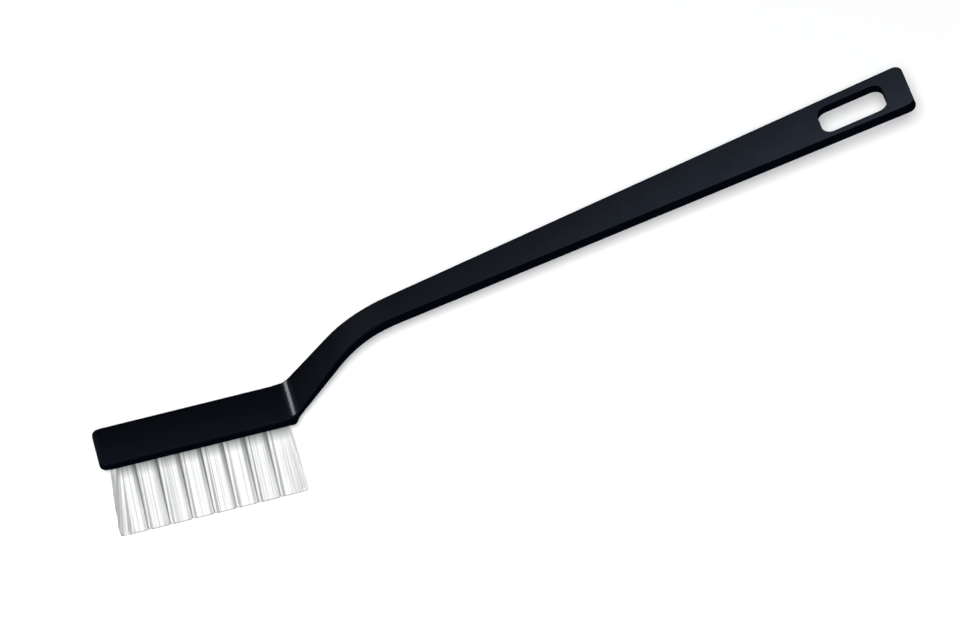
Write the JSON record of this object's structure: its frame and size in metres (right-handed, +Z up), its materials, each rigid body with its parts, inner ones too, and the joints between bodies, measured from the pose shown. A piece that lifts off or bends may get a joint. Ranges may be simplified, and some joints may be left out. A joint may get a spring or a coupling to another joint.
{
  "type": "polishing pad cleaning brush",
  "caption": "Bent flat-handled hand brush with a hang slot and white nylon tufts under its head, for cleaning polishing pads.",
  "frame": {"origin": "under the middle of the brush, level with the bristle tips", "axes": "+X from the nose to the tail, +Y from the front row of tufts to the rear row, +Z up, square to the head's back"},
  "size_m": [0.213, 0.0146, 0.0827],
  "materials": {
    "black_plastic": "fine-grained satin moulding",
    "white_nylon": "translucent white filaments",
    "anchor_wire": "plated flat wire"
  },
  "bodies": {
    "root": {"handle": "black_plastic", "bristles_front_nose": "white_nylon", "bristles_front_neck": "white_nylon", "bristles_rear_nose": "white_nylon", "bristles_rear_neck": "white_nylon", "anchor_front_1": "anchor_wire", "anchor_front_2": "anchor_wire", "anchor_front_3": "anchor_wire", "anchor_front_4": "anchor_wire", "anchor_front_5": "anchor_wire", "anchor_front_6": "anchor_wire", "anchor_front_7": "anchor_wire", "anchor_front_8": "anchor_wire", "anchor_rear_1": "anchor_wire", "anchor_rear_2": "anchor_wire", "anchor_rear_3": "anchor_wire", "anchor_rear_4": "anchor_wire", "anchor_rear_5": "anchor_wire", "anchor_rear_6": "anchor_wire", "anchor_rear_7": "anchor_wire", "anchor_rear_8": "anchor_wire"}
  },
  "joints": []
}
